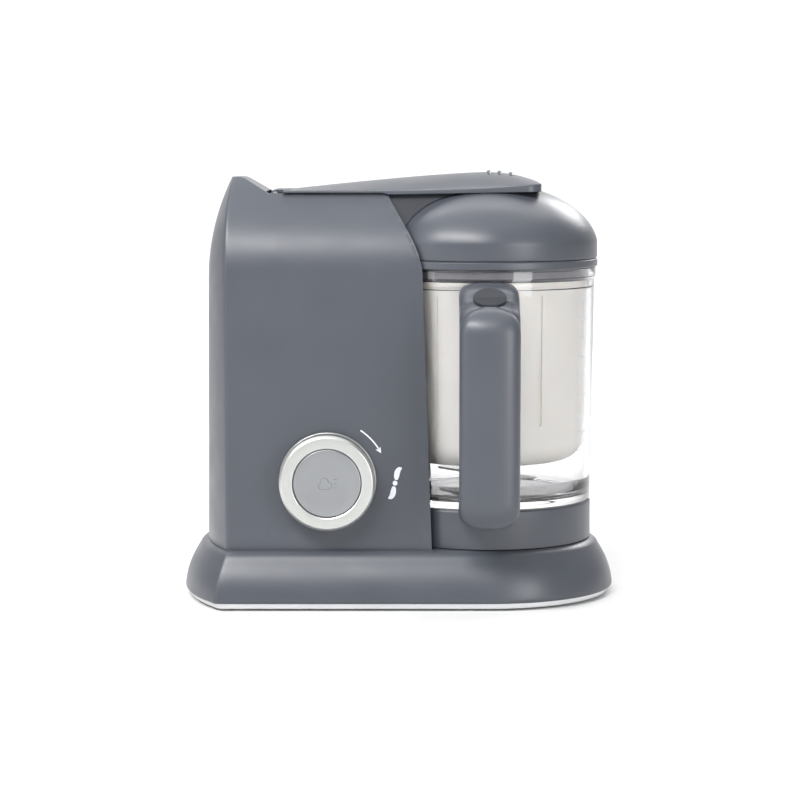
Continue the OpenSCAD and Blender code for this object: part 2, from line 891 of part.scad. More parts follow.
base_plinth();
bottom_plate();
rubber_feet();
base_screws();
tower_shell();
bowl_side_panel();
top_deck();
hinge_bed();
cord_gland();
water_tank();
heater_plate();
thermostat();
motor_mount();
motor_can();
motor_magnets();
motor_shaft();
motor_rotor();
motor_pulley();
drive_belt();
spindle_housing();
spindle_bushes();
bowl_seat();
drive_spindle();
spindle_pulley();
blade_hub();
blades();
rotary_switch();
control_board();
bowl_glass();
bowl_chimney();
bowl_foot();
handle();
thumb_pad();
steam_basket();
lid_dome();
lid_ring();
lid_seal();
steam_port();
lever_cover();
lever_pan();
steam_duct();
tank_gasket();
steam_nozzle();
hinge_pin();
knob_ring();
knob_skirt();
knob_shaft();
steam_button();
button_spring();
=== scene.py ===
"""Baby food maker: the looks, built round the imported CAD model.

Sizes are in millimetres up to the stage, which is in metres."""
import math

import bmesh
import bpy
from mathutils import Matrix, Vector


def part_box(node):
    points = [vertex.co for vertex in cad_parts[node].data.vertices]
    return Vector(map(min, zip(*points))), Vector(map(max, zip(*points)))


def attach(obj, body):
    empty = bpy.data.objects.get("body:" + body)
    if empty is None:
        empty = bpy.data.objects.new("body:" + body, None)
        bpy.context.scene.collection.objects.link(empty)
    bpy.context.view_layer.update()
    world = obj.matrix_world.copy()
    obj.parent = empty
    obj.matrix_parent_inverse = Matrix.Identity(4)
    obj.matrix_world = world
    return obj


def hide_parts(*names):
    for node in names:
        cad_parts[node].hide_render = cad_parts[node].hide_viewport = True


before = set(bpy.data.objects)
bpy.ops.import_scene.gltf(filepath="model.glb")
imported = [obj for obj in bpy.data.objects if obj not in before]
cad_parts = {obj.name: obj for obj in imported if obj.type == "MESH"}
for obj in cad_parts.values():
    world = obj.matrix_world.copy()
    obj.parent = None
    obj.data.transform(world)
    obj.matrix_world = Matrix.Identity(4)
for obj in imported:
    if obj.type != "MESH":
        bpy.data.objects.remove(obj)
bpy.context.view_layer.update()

MM = 0.001


# ---------- places taken from the frame ----------

def mm_box(node):
    low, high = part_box(node)
    return low / MM, high / MM


def middle(node):
    low, high = mm_box(node)
    return (low + high) / 2


def half_width(node):
    low, high = mm_box(node)
    return (high.x - low.x) / 2


BASE_LOW, BASE_HIGH = mm_box("base_plinth")
TOWER_LOW, TOWER_HIGH = mm_box("tower_shell")
FOOT_LOW, FOOT_HIGH = mm_box("bowl_foot")
KNOB_LOW, KNOB_HIGH = mm_box("knob_ring")
DECK_LOW, DECK_HIGH = mm_box("top_deck")
GLASS_HIGH = mm_box("bowl_glass")[1]
LEVER_HIGH = mm_box("lever_cover")[1]
BOWL = middle("lid_ring")
PLANE_Y = BOWL.y
KNOB = middle("knob_ring")
PIN = middle("hinge_pin")
BASE_TOP = BASE_HIGH.z
BASE_R = (BASE_HIGH.y - BASE_LOW.y) / 2
FOOT_R = half_width("bowl_foot")
LID_R = half_width("lid_dome")
RIM_Z = DECK_HIGH.z + 0.6


# ---------- outlines ----------

def rounded(corners, steps=5):
    """Points of a closed outline whose corners, (x, y, radius), are turned into arcs."""
    points = []
    count = len(corners)
    for i, (x, y, radius) in enumerate(corners):
        here = Vector((x, y))
        if radius <= 0:
            points.append((x, y))
            continue
        back = Vector(corners[i - 1][:2]) - here
        ahead = Vector(corners[(i + 1) % count][:2]) - here
        half = back.angle(ahead) / 2
        if half > math.radians(89):
            points.append((x, y))
            continue
        reach = min(radius / math.tan(half), 0.48 * back.length, 0.48 * ahead.length)
        r = reach * math.tan(half)
        centre = here + (back.normalized() + ahead.normalized()).normalized() * (r / math.sin(half))
        start = here + back.normalized() * reach - centre
        sweep = start.angle_signed(here + ahead.normalized() * reach - centre)
        for k in range(steps + 1):
            turned = start.copy()
            turned.rotate(Matrix.Rotation(-sweep * k / steps, 2))
            points.append((centre.x + turned.x, centre.y + turned.y))
    return points


def arc_points(x, y, r, start, end, steps):
    """Points along an arc, with angles in degrees."""
    angles = [math.radians(start + (end - start) * i / steps) for i in range(steps + 1)]
    return [(x + r * math.cos(a), y + r * math.sin(a)) for a in angles]


# ---------- mesh making ----------

def loft(rings, closed_rings=True, closed_path=False):
    """Vertices and faces of the skin through rings that all have the same number of points."""
    count = len(rings[0])
    verts = [p for ring in rings for p in ring]
    faces = []
    for i in range(len(rings) if closed_path else len(rings) - 1):
        a, b = i * count, ((i + 1) % len(rings)) * count
        for j in range(count if closed_rings else count - 1):
            k = (j + 1) % count
            faces.append((a + j, a + k, b + k, b + j))
    return verts, faces


def capped(rings):
    """A loft whose two end rings are closed with a face each."""
    verts, faces = loft(rings)
    count = len(rings[0])
    last = len(verts) - count
    faces.append(tuple(range(count))[::-1])
    faces.append(tuple(range(last, last + count)))
    return verts, faces


def joined(parts):
    """Several (vertices, faces) as one."""
    verts, faces = [], []
    for part_verts, part_faces in parts:
        start = len(verts)
        verts += [tuple(v) for v in part_verts]
        faces += [tuple(i + start for i in face) for face in part_faces]
    return verts, faces


def hollow(outer, inner):
    """A shell between rings going up outside and rings coming down inside, closed along its rim."""
    outer_verts, outer_faces = loft(outer)
    inner_verts, inner_faces = loft(inner)
    count = len(outer[0])
    outer_faces.append(tuple(range(len(outer_verts) - count, len(outer_verts))))
    inner_faces.append(tuple(range(count))[::-1])
    verts, faces = joined([(outer_verts, outer_faces), (inner_verts, inner_faces)])
    last = len(verts) - count
    faces += [(j, (j + 1) % count, last + (j + 1) % count, last + j) for j in range(count)]
    return verts, faces


def piece(name, shape, body, material, stands_for=(), sharp=32):
    """Makes a mesh object from (vertices, faces) in millimetres and lets it ride on a body."""
    verts, faces = shape
    mesh = bpy.data.meshes.new(name)
    bm = bmesh.new()
    made = [bm.verts.new(Vector(v) * MM) for v in verts]
    for face in faces:
        if len(set(face)) > 2:
            bm.faces.new([made[i] for i in face])
    bmesh.ops.remove_doubles(bm, verts=bm.verts, dist=2e-6)
    bmesh.ops.dissolve_degenerate(bm, dist=1e-6, edges=bm.edges)
    bmesh.ops.recalc_face_normals(bm, faces=bm.faces)
    bm.to_mesh(mesh)
    bm.free()
    obj = bpy.data.objects.new(name, mesh)
    bpy.context.scene.collection.objects.link(obj)
    mesh.shade_smooth()
    mesh.set_sharp_from_angle(angle=math.radians(sharp))
    mesh.materials.append(material)
    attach(obj, body)
    if stands_for:
        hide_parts(*stands_for)
    return obj


def turned_rings(profile, steps):
    """Rings of an outline (radius, height) turned right round the Z axis."""
    angles = [math.radians(360 * i / steps) for i in range(steps)]
    return [[(r * math.cos(a), r * math.sin(a), z) for r, z in profile] for a in angles]


def lathe(profile, steps=160):
    """A closed outline (radius, height) turned right round the bowl's axis."""
    verts, faces = loft(turned_rings(profile, steps), closed_path=True)
    return [(x + BOWL.x, y + BOWL.y, z) for x, y, z in verts], faces


def lathe_forward(profile, steps=144):
    """A closed outline (radius, depth) turned round the knob's axis; depth runs towards +Y."""
    verts, faces = loft(turned_rings(profile, steps), closed_path=True)
    return [(x + KNOB.x, z, y + KNOB.z) for x, y, z in verts], faces


def tube(path, radius, sides=10):
    """A round bar along a path of 3-D points, with rounded-off ends."""
    points = [Vector(p) for p in path]
    rings = []
    side = None
    for i, point in enumerate(points):
        along = (points[min(i + 1, len(points) - 1)] - points[max(i - 1, 0)]).normalized()
        if side is None:
            side = along.orthogonal().normalized()
        side = (side - along * side.dot(along)).normalized()
        other = along.cross(side)
        r = radius[i] if isinstance(radius, (list, tuple)) else radius
        rings.append([
            tuple(point + (side * math.cos(a) + other * math.sin(a)) * r)
            for a in (2 * math.pi * k / sides for k in range(sides))
        ])
    return capped(rings)


# ---------- materials ----------

def new_material(name):
    material = bpy.data.materials.new(name)
    material.use_nodes = True
    nodes, links = material.node_tree.nodes, material.node_tree.links
    shader = nodes["Principled BSDF"]
    return material, nodes, links, shader


def noise(nodes, links, coords, scale, detail=3.0, rough=0.5, stretch=None):
    """A noise texture on object coordinates; stretch squeezes it along an axis."""
    texture = nodes.new("ShaderNodeTexNoise")
    texture.inputs["Scale"].default_value = scale
    texture.inputs["Detail"].default_value = detail
    texture.inputs["Roughness"].default_value = rough
    if stretch:
        mapping = nodes.new("ShaderNodeMapping")
        mapping.inputs["Scale"].default_value = stretch
        links.new(coords, mapping.inputs["Vector"])
        links.new(mapping.outputs["Vector"], texture.inputs["Vector"])
    else:
        links.new(coords, texture.inputs["Vector"])
    return texture.outputs["Fac"]


def ranged(nodes, links, value, low, high, from_low=0.3, from_high=0.7):
    """A value brought from one range to another."""
    node = nodes.new("ShaderNodeMapRange")
    node.inputs["From Min"].default_value = from_low
    node.inputs["From Max"].default_value = from_high
    node.inputs["To Min"].default_value = low
    node.inputs["To Max"].default_value = high
    links.new(value, node.inputs["Value"])
    return node.outputs["Result"]


def tinted(nodes, links, factor, first, second):
    """A colour mixed from two by a factor."""
    mix = nodes.new("ShaderNodeMix")
    mix.data_type = "RGBA"
    mix.inputs["A"].default_value = (*first, 1)
    mix.inputs["B"].default_value = (*second, 1)
    links.new(factor, mix.inputs["Factor"])
    return mix.outputs["Result"]


def bumped(nodes, links, shader, height, strength, distance):
    """Fine relief from a height."""
    bump = nodes.new("ShaderNodeBump")
    bump.inputs["Strength"].default_value = strength
    bump.inputs["Distance"].default_value = distance
    links.new(height, bump.inputs["Height"])
    links.new(bump.outputs["Normal"], shader.inputs["Normal"])


def shade(colour, factor):
    return tuple(min(1.0, c * factor) for c in colour)


def moulded(name, colour, roughness, grain=1400.0, depth=0.00003, gloss=0.5):
    """Moulded plastic: fine spark-eroded grain, faint flow marks and a painted highlight that lightens its
    convex edges.
    """
    material, nodes, links, shader = new_material(name)
    coords = nodes.new("ShaderNodeTexCoord").outputs["Object"]
    patches = ranged(nodes, links, noise(nodes, links, coords, 22), 0, 1)
    base = tinted(nodes, links, patches, shade(colour, 0.96), shade(colour, 1.04))
    # painted highlight: convex edges, found by pointiness, are given a lighter colour
    pointed = nodes.new("ShaderNodeNewGeometry").outputs["Pointiness"]
    edges = ranged(nodes, links, pointed, 0, 0.10, 0.52, 0.60)
    painted_edge_highlight = nodes.new("ShaderNodeMix")
    painted_edge_highlight.data_type = "RGBA"
    links.new(edges, painted_edge_highlight.inputs["Factor"])
    links.new(base, painted_edge_highlight.inputs["A"])
    painted_edge_highlight.inputs["B"].default_value = (*shade(colour, 1.8), 1)
    links.new(painted_edge_highlight.outputs["Result"], shader.inputs["Base Color"])
    handled = ranged(nodes, links, noise(nodes, links, coords, 60, 5), roughness - 0.035, roughness + 0.035)
    links.new(handled, shader.inputs["Roughness"])
    bumped(nodes, links, shader, noise(nodes, links, coords, grain, 2), 0.35, depth)
    shader.inputs["IOR"].default_value = 1.5
    shader.inputs["Specular IOR Level"].default_value = gloss
    return material


def rubber(name, colour, roughness=0.62):
    """Soft rubber or silicone: matt, with a dusty sheen."""
    material, nodes, links, shader = new_material(name)
    coords = nodes.new("ShaderNodeTexCoord").outputs["Object"]
    dust = ranged(nodes, links, noise(nodes, links, coords, 90, 6), 0, 1)
    dusty = tinted(nodes, links, dust, shade(colour, 0.9), shade(colour, 1.15))
    links.new(dusty, shader.inputs["Base Color"])
    uneven = ranged(nodes, links, dust, roughness - 0.06, roughness + 0.08, 0, 1)
    links.new(uneven, shader.inputs["Roughness"])
    bumped(nodes, links, shader, noise(nodes, links, coords, 900, 4), 0.3, 0.00004)
    shader.inputs["Sheen Weight"].default_value = 0.15
    shader.inputs["Sheen Roughness"].default_value = 0.5
    return material


def metal(name, colour, roughness, stretch=(1.0, 1.0, 30.0), scale=120.0, marks=0.06):
    """Brushed or ground metal: the stretched noise is the line of the brush."""
    material, nodes, links, shader = new_material(name)
    coords = nodes.new("ShaderNodeTexCoord").outputs["Object"]
    lines = noise(nodes, links, coords, scale, 6, 0.65, stretch)
    links.new(tinted(nodes, links, ranged(nodes, links, lines, 0, 1), shade(colour, 0.93), colour),
              shader.inputs["Base Color"])
    links.new(ranged(nodes, links, lines, roughness - marks, roughness + marks), shader.inputs["Roughness"])
    bumped(nodes, links, shader, lines, 0.25, 0.00003)
    shader.inputs["Metallic"].default_value = 1.0
    return material


def spun_metal(name, colour, roughness):
    """Metal turned on a lathe: fine rings about the knob's axis."""
    material, nodes, links, shader = new_material(name)
    coords = nodes.new("ShaderNodeTexCoord").outputs["Object"]
    offset = nodes.new("ShaderNodeVectorMath")
    offset.operation = "SUBTRACT"
    offset.inputs[1].default_value = (KNOB.x * MM, 0, KNOB.z * MM)
    links.new(coords, offset.inputs[0])
    flat = nodes.new("ShaderNodeVectorMath")
    flat.operation = "MULTIPLY"
    flat.inputs[1].default_value = (1, 0, 1)
    links.new(offset.outputs["Vector"], flat.inputs[0])
    radius = nodes.new("ShaderNodeVectorMath")
    radius.operation = "LENGTH"
    links.new(flat.outputs["Vector"], radius.inputs[0])
    rings = nodes.new("ShaderNodeTexNoise")
    rings.noise_dimensions = "1D"
    rings.inputs["Scale"].default_value = 3500
    rings.inputs["Detail"].default_value = 4
    links.new(radius.outputs["Value"], rings.inputs["W"])
    cloud = noise(nodes, links, coords, 70, 3)
    links.new(tinted(nodes, links, ranged(nodes, links, cloud, 0, 1), shade(colour, 0.96), colour),
              shader.inputs["Base Color"])
    links.new(ranged(nodes, links, rings.outputs["Fac"], roughness - 0.05, roughness + 0.05),
              shader.inputs["Roughness"])
    bumped(nodes, links, shader, rings.outputs["Fac"], 0.3, 0.00002)
    shader.inputs["Metallic"].default_value = 1.0
    return material


def clear_plastic(name, colour, edge, roughness):
    """Clear moulded wall: refracts, with faint marks in its polish. edge is its tint where the wall is
    seen edge-on: mostly a painted reflection of dark surroundings, a little the real tint of a long
    look through the plastic."""
    material, nodes, links, shader = new_material(name)
    coords = nodes.new("ShaderNodeTexCoord").outputs["Object"]
    marks = noise(nodes, links, coords, 160, 8, 0.7)
    polish = ranged(nodes, links, marks, roughness, roughness + 0.04, 0.5, 0.8)
    links.new(polish, shader.inputs["Roughness"])
    bumped(nodes, links, shader, noise(nodes, links, coords, 35, 2), 0.05, 0.0002)
    # painted reflection: the wall's colour turns towards edge where it is seen edge-on
    grazing = nodes.new("ShaderNodeLayerWeight")
    grazing.inputs["Blend"].default_value = 0.35
    thick = ranged(nodes, links, grazing.outputs["Facing"], 0, 1, 0.35, 0.85)
    links.new(tinted(nodes, links, thick, colour, edge), shader.inputs["Base Color"])
    shader.inputs["Transmission Weight"].default_value = 1.0
    shader.inputs["IOR"].default_value = 1.46
    return material


def milky_plastic(name, colour):
    """Natural, slightly see-through plastic of the steam basket."""
    material, nodes, links, shader = new_material(name)
    coords = nodes.new("ShaderNodeTexCoord").outputs["Object"]
    cloud = ranged(nodes, links, noise(nodes, links, coords, 30, 4), 0, 1)
    clouded = tinted(nodes, links, cloud, shade(colour, 0.97), shade(colour, 1.02))
    links.new(clouded, shader.inputs["Base Color"])
    satin = ranged(nodes, links, noise(nodes, links, coords, 80, 4), 0.38, 0.48)
    links.new(satin, shader.inputs["Roughness"])
    bumped(nodes, links, shader, noise(nodes, links, coords, 700, 2), 0.2, 0.00003)
    shader.inputs["Subsurface Weight"].default_value = 0.35
    shader.inputs["Subsurface Radius"].default_value = (0.006, 0.0045, 0.0035)
    shader.inputs["Subsurface Scale"].default_value = 1.0
    shader.inputs["IOR"].default_value = 1.49
    return material


GREY = (0.060, 0.066, 0.080)
shell_mat = moulded("satin_grey_plastic", GREY, 0.36)
# painted shade: the body's grey darkened to 0.42, used where the body plastic should lie in shade
painted_shade_mat = moulded("painted_shade_grey_plastic", shade(GREY, 0.42), 0.5, gloss=0.25)
lining_mat = moulded("pale_floor_lining", (0.27, 0.27, 0.29), 0.6, gloss=0.2)
plate_mat = moulded("light_grey_plastic", (0.70, 0.71, 0.72), 0.5)
inner_mat = moulded("natural_plastic", (0.64, 0.64, 0.62), 0.45)
board_mat = moulded("circuit_board_green", (0.02, 0.13, 0.06), 0.35)
print_mat = moulded("light_grey_print", (0.60, 0.62, 0.65), 0.5, grain=2500, depth=0.00001)
dark_print_mat = moulded("dark_grey_print", (0.17, 0.18, 0.20), 0.5, grain=2500, depth=0.00001)
rubber_mat = rubber("black_rubber", (0.045, 0.045, 0.05))
seal_mat = rubber("grey_silicone", (0.20, 0.19, 0.21), 0.5)
feet_mat = rubber("light_rubber", (0.50, 0.50, 0.51))
steel_mat = metal("brushed_steel", (0.70, 0.70, 0.71), 0.28)
zinc_mat = metal("zinc_plated_steel", (0.56, 0.57, 0.58), 0.38, (1, 1, 1), 60)
bronze_mat = metal("sintered_bronze", (0.50, 0.33, 0.15), 0.45, (1, 1, 1), 400)
copper_mat = metal("copper_windings", (0.62, 0.28, 0.14), 0.35, (1, 1, 60), 300)
magnet_mat = metal("sintered_magnet", (0.10, 0.10, 0.11), 0.55, (1, 1, 1), 500)
cast_mat = metal("cast_aluminium", (0.62, 0.62, 0.63), 0.5, (1, 1, 1), 350)
knob_mat = spun_metal("knob_satin_metal", (0.62, 0.63, 0.61), 0.38)
button_mat = spun_metal("button_satin_metal", (0.36, 0.37, 0.385), 0.34)
# (0.20, 0.20, 0.25) is the painted reflection tint of the wall's edges
glass_mat = clear_plastic("clear_bowl_plastic", (0.99, 0.99, 0.995), (0.20, 0.20, 0.25), 0.015)
basket_mat = milky_plastic("milky_basket_plastic", (1.0, 0.92, 0.84))

CAD_FINISH = {
    shell_mat: ("bowl_seat", "top_deck", "hinge_bed", "bowl_side_panel", "blade_hub"),
    # the steam duct is the body's plastic darkened as painted shade; the thumb pad's darker tone is partly
    # its own and partly painted shade of its dish
    painted_shade_mat: ("steam_duct", "thumb_pad"),
    inner_mat: ("thermostat", "spindle_housing", "spindle_pulley", "rotary_switch", "knob_shaft",
                "lever_pan"),
    board_mat: ("control_board",),
    steel_mat: ("motor_shaft", "motor_pulley", "drive_spindle", "hinge_pin", "button_spring", "blades",
                "water_tank"),
    zinc_mat: ("motor_mount", "motor_can", "base_screws"),
    bronze_mat: ("spindle_bushes",),
    copper_mat: ("motor_rotor",),
    magnet_mat: ("motor_magnets",),
    cast_mat: ("heater_plate",),
    rubber_mat: ("drive_belt", "cord_gland"),
    seal_mat: ("lid_seal", "tank_gasket", "steam_nozzle", "steam_port"),
    feet_mat: ("rubber_feet",),
}
for finish, names in CAD_FINISH.items():
    for node in names:
        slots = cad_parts[node].data.materials
        slots.clear()
        slots.append(finish)


# ---------- base ----------

BASE_END_R = 139.0      # radius of the bowed left end
BASE_CORNER_R = 2.5
BASE_WALL = 2.6
WIDEST_Z = 5.6          # height of the flank's widest line
FLANK_TOP_Z = 29.2
FLANK_LEAN = 11.5       # how far the flank would lean in by the height of the base's top
ROUND_STEPS = 48
SIDE_STEPS = 24
END_STEPS = 32


def flank_inset(z):
    """How far the flared flank stands in from its widest line at a height."""
    if z < WIDEST_Z:
        return 0.5 * (WIDEST_Z - z) / (WIDEST_Z - BASE_LOW.z)
    return FLANK_LEAN * ((z - WIDEST_Z) / (BASE_TOP - WIDEST_Z)) ** 1.8


def base_ring(inset, z):
    """Plan of the base, drawn in from its widest line, at a height: a half circle round the
    bowl, straight sides and a bowed left end."""
    end_r = BASE_END_R - inset
    centre_x = BASE_LOW.x + BASE_END_R
    half = BASE_R - inset
    corner_x = centre_x - math.sqrt(end_r ** 2 - half ** 2)
    side = [BOWL.x + (corner_x - BOWL.x) * i / SIDE_STEPS for i in range(1, SIDE_STEPS)]
    points = arc_points(BOWL.x, 0, half, -90, 90, ROUND_STEPS)
    points += [(x, half) for x in side]
    bow = math.degrees(math.asin(half / end_r))
    points += soften_ends(arc_points(centre_x, 0, end_r, 180 - bow, 180 + bow, END_STEPS))
    points += [(x, -half) for x in reversed(side)]
    return [(x, y + PLANE_Y, z) for x, y in points]


def soften_ends(arc):
    """Rounds where the straight sides meet the bowed end, at both ends of its arc."""
    def blend(points):
        corner = Vector(points[0])
        along = (Vector(points[3]) - corner).normalized() * BASE_CORNER_R
        side = Vector((BASE_CORNER_R, 0))
        turn = []
        for share in (0.0, 0.25, 0.5, 0.75, 1.0):
            turn.append(tuple((corner + side * (1 - share)).lerp(corner + along * share, share)))
        return turn
    return blend(arc) + arc[4:-4] + blend(arc[::-1])[::-1]


def build_base():
    heights = [BASE_LOW.z, 5.0, WIDEST_Z, 7, 9, 12, 15, 18, 21, 24, 27, FLANK_TOP_Z]
    outer = [base_ring(flank_inset(z), z) for z in heights]
    # the lip rolls over from the flank to the flat top
    top_inset = BASE_R - FOOT_R
    flank_top = flank_inset(FLANK_TOP_Z)
    lip_steps = 7
    for i in range(1, lip_steps + 1):
        a = math.radians(12 + 78 * i / lip_steps)
        z = FLANK_TOP_Z + (BASE_TOP - FLANK_TOP_Z) * math.sin(a) ** 1.2
        outer.append(base_ring(flank_top + (top_inset + 1.6 - flank_top) * (1 - math.cos(a)) ** 0.9, z))
    inner = [base_ring(top_inset + 4, BASE_TOP - BASE_WALL)]
    inner += [base_ring(flank_inset(z) + BASE_WALL, z) for z in (27, 22, 16, 10, BASE_LOW.z)]
    shape = hollow(outer, inner)
    piece("base_moulding", shape, "root", shell_mat, ["base_plinth"])


def build_bottom_plate():
    low = mm_box("bottom_plate")[0].z
    top = BASE_LOW.z
    edge = ((4.2, low), (3.2, low + 0.3), (2.4, low + 1.0), (1.4, top - 0.6), (1.2, top - 0.05))
    shape = capped([base_ring(inset, z) for inset, z in edge])
    piece("bottom_plate_light", shape, "root", plate_mat, ["bottom_plate"])


# ---------- tower ----------

TOWER_HALF = (TOWER_HIGH.y - TOWER_LOW.y) / 2
TAPER = 3.4             # how far each face leans in up to the shoulder
LEAN = 22.8             # and from there to the rim
SHOULDER_Z = 190.0
TOWER_BOW = 126.0       # radius of the bowed left face in plan
LEFT_SLOPE = 0.0067
LEFT_CURVE = 0.0041
LEFT_CURVE_Z = 188.8
BAY_EDGE_R = 68.0       # radius, about the bowl's axis, where the faces end at the bowl's hollow
WALL = 2.5
CORNER_R = 2.6
VALLEY_X = PIN.x - 4.5  # the rounded wedge rises from here to its crest, behind the hinge
CREST_X = TOWER_LOW.x + 20.95
CREST_Z = TOWER_HIGH.z
WEDGE_FOOT = 0.5        # height of the wedge's foot over the rim
WEDGE_SLOPE = 1.12
WEDGE_STRAIGHT = 0.78   # share of the wedge's length before it rounds off
FRONT_STEPS = 52
CORNER_STEPS = 6
BOW_STEPS = 40
TOP_STEPS = 12


def tower_half(z):
    """Half depth of the tower at a height: a slight taper, then a lean that grows."""
    if z < SHOULDER_Z:
        return TOWER_HALF - TAPER * (z - BASE_TOP) / (SHOULDER_Z - BASE_TOP)
    return TOWER_HALF - TAPER - LEAN * ((z - SHOULDER_Z) / (RIM_Z - SHOULDER_Z)) ** 2


def bow_x(z, y):
    """X of the bowed left face at a height and a distance from the middle."""
    left = TOWER_LOW.x + LEFT_SLOPE * (z - BASE_TOP) + LEFT_CURVE * max(0.0, z - LEFT_CURVE_Z) ** 2
    return left + TOWER_BOW - math.sqrt(TOWER_BOW ** 2 - y ** 2)


def top_line(x):
    """Height of the tower's top edge: flat, then the rounded wedge behind the hinge."""
    if x >= VALLEY_X:
        return RIM_Z
    share = min(1.0, (VALLEY_X - x) / (VALLEY_X - CREST_X))
    if share < WEDGE_STRAIGHT:
        risen = WEDGE_SLOPE * share
    else:
        straight = WEDGE_SLOPE * WEDGE_STRAIGHT
        turn = math.pi / 2 * (share - WEDGE_STRAIGHT) / (1 - WEDGE_STRAIGHT)
        risen = straight + (1 - straight) * math.sin(turn)
    return RIM_Z + WEDGE_FOOT + (CREST_Z - RIM_Z - WEDGE_FOOT) * risen


def front_x(z, share):
    """X on the front face at a height; share runs from the bowl's hollow to the left corner."""
    right = BOWL.x - math.sqrt(BAY_EDGE_R ** 2 - tower_half(min(z, RIM_Z)) ** 2)
    left = bow_x(z, tower_half(z)) + CORNER_R * 0.8
    return right * (1 - share) + left * share


def front_point(rise, share):
    """A point of the front face; rise runs from the base, 0, to the top edge, 1."""
    top = RIM_Z
    for _ in range(4):
        top = top_line(front_x(top, share))
    z = BASE_TOP + (top - BASE_TOP) * rise
    return front_x(z, share), -tower_half(z), z


def bow_point(rise, share):
    """A point of the bowed left face; share runs from -1 at its front edge to 1 at its back."""
    z = BASE_TOP + (CREST_Z - BASE_TOP) * rise
    y = tower_half(z) * share
    return bow_x(z, y), y, z


def tower_ring(rise):
    """One row of the skin, from the front right edge round the left to the back right edge."""
    front = [front_point(rise, i / FRONT_STEPS) for i in range(FRONT_STEPS + 1)]
    corner = Vector(bow_point(rise, -1))
    inner = 1 - CORNER_R * 0.55 / -corner.y
    bow = [bow_point(rise, inner * (2 * i / BOW_STEPS - 1)) for i in range(BOW_STEPS + 1)]
    start, end = Vector(front[-1]), Vector(bow[0])
    turn = []
    for t in (i / CORNER_STEPS for i in range(1, CORNER_STEPS)):
        p = start * (1 - t) ** 2 + corner * 2 * t * (1 - t) + end * t ** 2
        turn.append((p.x, p.y, start.z * (1 - t) + end.z * t))
    back = [(x, -y, z) for x, y, z in reversed(front + turn)]
    return [(x, y + PLANE_Y, z) for x, y, z in front + turn + bow + back]


def build_tower():
    # rows stand close together where the skin curves
    plain = 0.66
    rises = [plain * i / 16 for i in range(16)] + [plain + (1 - plain) * i / 34 for i in range(35)]
    rings = [tower_ring(rise) for rise in rises]
    verts, faces = loft(rings, closed_rings=False)
    first, end = len(verts) - len(rings[0]), len(verts)
    front_top = list(range(first, first + FRONT_STEPS + 1))
    back_top = [end - 1 - i for i in range(FRONT_STEPS + 1)]
    valley = next(i for i in range(FRONT_STEPS + 1) if rings[-1][i][0] <= VALLEY_X + 0.4)
    # the wedge's top: rows from the front edge to the back edge, from the valley to the crest
    rows = []
    for i in range(valley, FRONT_STEPS + 1):
        near, far = Vector(verts[front_top[i]]), Vector(verts[back_top[i]])
        between = [len(verts) + j for j in range(TOP_STEPS - 1)]
        verts += [tuple(near.lerp(far, j / TOP_STEPS)) for j in range(1, TOP_STEPS)]
        rows.append([front_top[i], *between, back_top[i]])
    for row, following in zip(rows, rows[1:]):
        faces += [(row[j], row[j + 1], following[j + 1], following[j]) for j in range(TOP_STEPS)]
    # the crest against the bowed face
    bow = list(range(first + FRONT_STEPS, end - FRONT_STEPS))
    faces.append(tuple(bow + rows[-1][::-1][1:-1]))
    # narrow rims beside the deck, right of the valley
    deck_half = (DECK_HIGH.y - DECK_LOW.y) / 2 + 0.1
    for edge, y in ((front_top, PLANE_Y - deck_half), (back_top, PLANE_Y + deck_half)):
        inner = [len(verts) + i for i in range(valley + 1)]
        verts += [(verts[edge[i]][0], y, verts[edge[i]][2]) for i in range(valley + 1)]
        faces += [(edge[i], edge[i + 1], inner[i + 1], inner[i]) for i in range(valley)]
    obj = piece("tower_moulding", (verts, faces), "root", shell_mat, ["tower_shell"], sharp=38)
    thick = obj.modifiers.new("wall", "SOLIDIFY")
    thick.thickness = WALL * MM
    thick.offset = -1
    thick.use_even_offset = False
    edge = obj.modifiers.new("edges", "BEVEL")
    edge.width = 0.7 * MM
    edge.segments = 3
    edge.limit_method = "ANGLE"
    edge.angle_limit = math.radians(36)


# ---------- bowl ----------

NECK_R = 63.6           # outside radius of the clear wall where its rim begins
NECK_Z = GLASS_HIGH.z - 6.2
CLEAR_WALL = 3.4
CHIMNEY_TOP = mm_box("bowl_chimney")[1].z
FOOT_OPEN_R = 37.0      # radius of the opening in the foot, under the clear floor
LINING_R = 61.0


def wall_r(z):
    """Outside radius of the clear wall at a height: it widens slightly upwards."""
    low_r = FOOT_R - 0.1
    return low_r + (NECK_R - low_r) * (z - FOOT_HIGH.z) / (NECK_Z - FOOT_HIGH.z)


